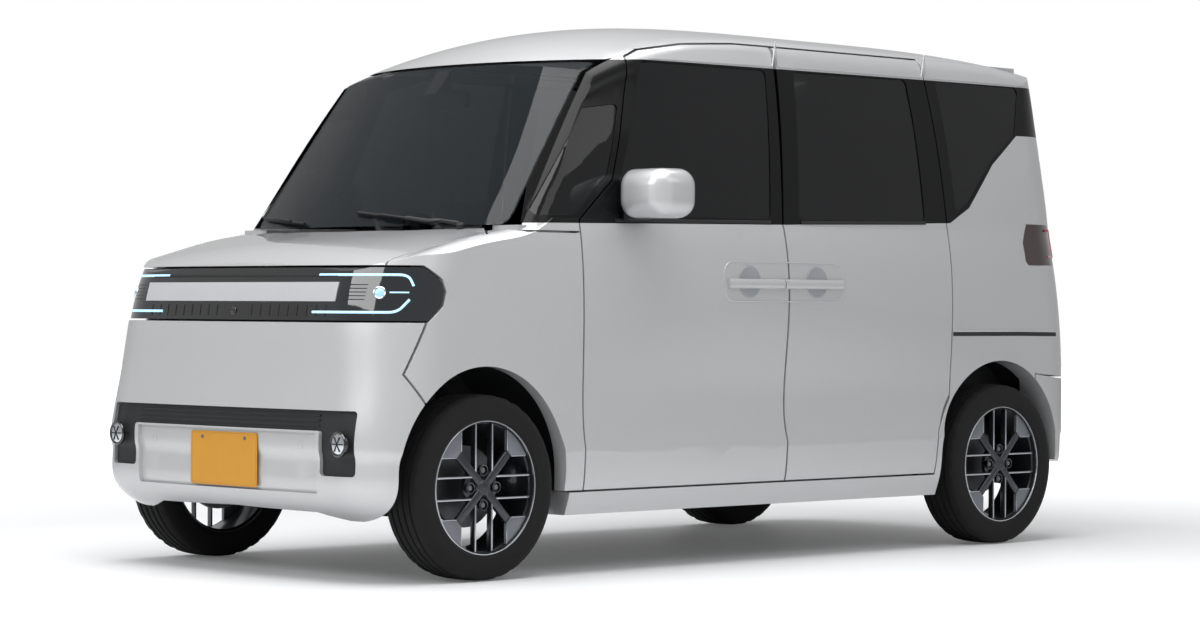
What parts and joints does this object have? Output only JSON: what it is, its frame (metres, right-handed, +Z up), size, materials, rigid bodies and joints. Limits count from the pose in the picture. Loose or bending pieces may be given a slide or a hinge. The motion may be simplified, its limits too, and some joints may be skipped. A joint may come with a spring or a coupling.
{
  "type": "kei car",
  "caption": "Tall boxy kei car with hinged front doors, bonnet and tailgate, fixed sliding rear doors, steered front wheels and a hollow furnished cabin.",
  "frame": {"origin": "on the ground under the middle of the car's length and width", "axes": "+Z up, +Y towards the tail, the nose points along -Y, +X is the car's left side"},
  "size_m": [1.789, 3.3956, 1.7793],
  "materials": {
    "body_paint": "pearl white clear-coated paint",
    "bumper_paint": "pearl white paint on moulded bumper skin",
    "casting": "bare cast alloy",
    "clear_glass": "green tinted laminated glass",
    "clear_lens": "clear lamp lens over dark housing",
    "gloss_black": "gloss black moulded panel",
    "matt_black": "grained black moulding",
    "mirror_housing": "painted housing",
    "plate": "blank pressed plate, yellow-orange",
    "red_lens": "dark red tail lamp lens",
    "roof_paint": "pearl white clear-coated paint",
    "rubber_tyre": "black tyre rubber",
    "satin_silver": "satin light grey bar",
    "seat_fabric": "dark woven upholstery",
    "steel": "turned steel",
    "tinted_glass": "privacy tinted glass",
    "trim": "grained interior trim",
    "underbody": "sealed dark underbody steel",
    "wheel_finish": "gunmetal wheel with machined edges"
  },
  "bodies": {
    "body": {"battery_pack": "underbody", "body_shell": "body_paint", "bumper_insert": "matt_black", "cabin_mirror": "trim", "cowl_panel": "matt_black", "dashboard": "trim", "drive_unit": "casting", "floor_pan": "underbody", "fog_lamps": "clear_lens", "front_bumper": "bumper_paint", "front_fenders": "body_paint", "front_seats": "seat_fabric", "front_suspension": "underbody", "grille_bar": "satin_silver", "grille_panel": "gloss_black", "headlamps": "clear_lens", "number_plate_front": "plate", "rear_axle": "underbody", "rear_bumper": "bumper_paint", "rear_seat": "seat_fabric", "roof_panel": "roof_paint", "side_windows": "tinted_glass", "sliding_door_left": "body_paint", "sliding_door_right": "body_paint", "tail_lamps": "red_lens", "wheel_liners": "matt_black", "windscreen": "clear_glass"},
    "bonnet": {"bonnet": "body_paint"},
    "door_left": {"front_door_left": "body_paint", "door_glass_left": "tinted_glass", "door_mirror_left": "mirror_housing"},
    "door_right": {"front_door_right": "body_paint", "door_glass_right": "tinted_glass", "door_mirror_right": "mirror_housing"},
    "tailgate": {"tailgate": "body_paint", "tailgate_glass": "tinted_glass", "number_plate_rear": "plate"},
    "steering_wheel": {"steering_wheel": "trim"},
    "knuckle_left": {"knuckle_left": "casting"},
    "knuckle_right": {"knuckle_right": "casting"},
    "wheel_front_left": {"tyre_front_left": "rubber_tyre", "rim_front_left": "wheel_finish", "brake_front_left": "steel"},
    "wheel_front_right": {"tyre_front_right": "rubber_tyre", "rim_front_right": "wheel_finish", "brake_front_right": "steel"},
    "wheel_rear_left": {"tyre_rear_left": "rubber_tyre", "rim_rear_left": "wheel_finish", "brake_rear_left": "steel"},
    "wheel_rear_right": {"tyre_rear_right": "rubber_tyre", "rim_rear_right": "wheel_finish", "brake_rear_right": "steel"}
  },
  "joints": [
    {"name": "bonnet_hinge", "type": "hinge", "parent": "body", "child": "bonnet", "pos_m": [0, -1.105, 1.078], "axis": [-1, 0, 0], "range_deg": [0, 60]},
    {"name": "door_left_hinge", "type": "hinge", "parent": "body", "child": "door_left", "pos_m": [0.728, -0.79, 0.7], "axis": [0, 0, -1], "range_deg": [0, 68]},
    {"name": "door_right_hinge", "type": "hinge", "parent": "body", "child": "door_right", "pos_m": [-0.728, -0.79, 0.7], "axis": [0, 0, 1], "range_deg": [0, 68]},
    {"name": "tailgate_hinge", "type": "hinge", "parent": "body", "child": "tailgate", "pos_m": [0, 1.493, 1.75], "axis": [1, 0, 0], "range_deg": [0, 80]},
    {"name": "steer_left", "type": "hinge", "parent": "body", "child": "knuckle_left", "pos_m": [0.575, -1.2455, 0.205], "axis": [-0.187, 0, 0.9824], "range_deg": [-34, 34]},
    {"name": "steer_right", "type": "hinge", "parent": "body", "child": "knuckle_right", "pos_m": [-0.575, -1.2455, 0.205], "axis": [0.187, 0, 0.9824], "range_deg": [-34, 34]},
    {"name": "steering_wheel_turn", "type": "hinge", "parent": "body", "child": "steering_wheel", "pos_m": [-0.33, -0.545, 0.985], "axis": [0, 0.9063, 0.4226], "range_deg": [-545, 545]},
    {"name": "front_left_spin", "type": "hinge", "parent": "knuckle_left", "child": "wheel_front_left", "pos_m": [0.635, -1.2455, 0.2815], "axis": [1, 0, 0], "continuous": true},
    {"name": "front_right_spin", "type": "hinge", "parent": "knuckle_right", "child": "wheel_front_right", "pos_m": [-0.635, -1.2455, 0.2815], "axis": [1, 0, 0], "continuous": true},
    {"name": "rear_left_spin", "type": "hinge", "parent": "body", "child": "wheel_rear_left", "pos_m": [0.635, 1.2145, 0.2815], "axis": [1, 0, 0], "continuous": true},
    {"name": "rear_right_spin", "type": "hinge", "parent": "body", "child": "wheel_rear_right", "pos_m": [-0.635, 1.2145, 0.2815], "axis": [1, 0, 0], "continuous": true}
  ],
  "couplings": [
    {"joint": "steer_right", "follows": "steer_left", "ratio": 1},
    {"joint": "steering_wheel_turn", "follows": "steer_left", "ratio": 16}
  ]
}
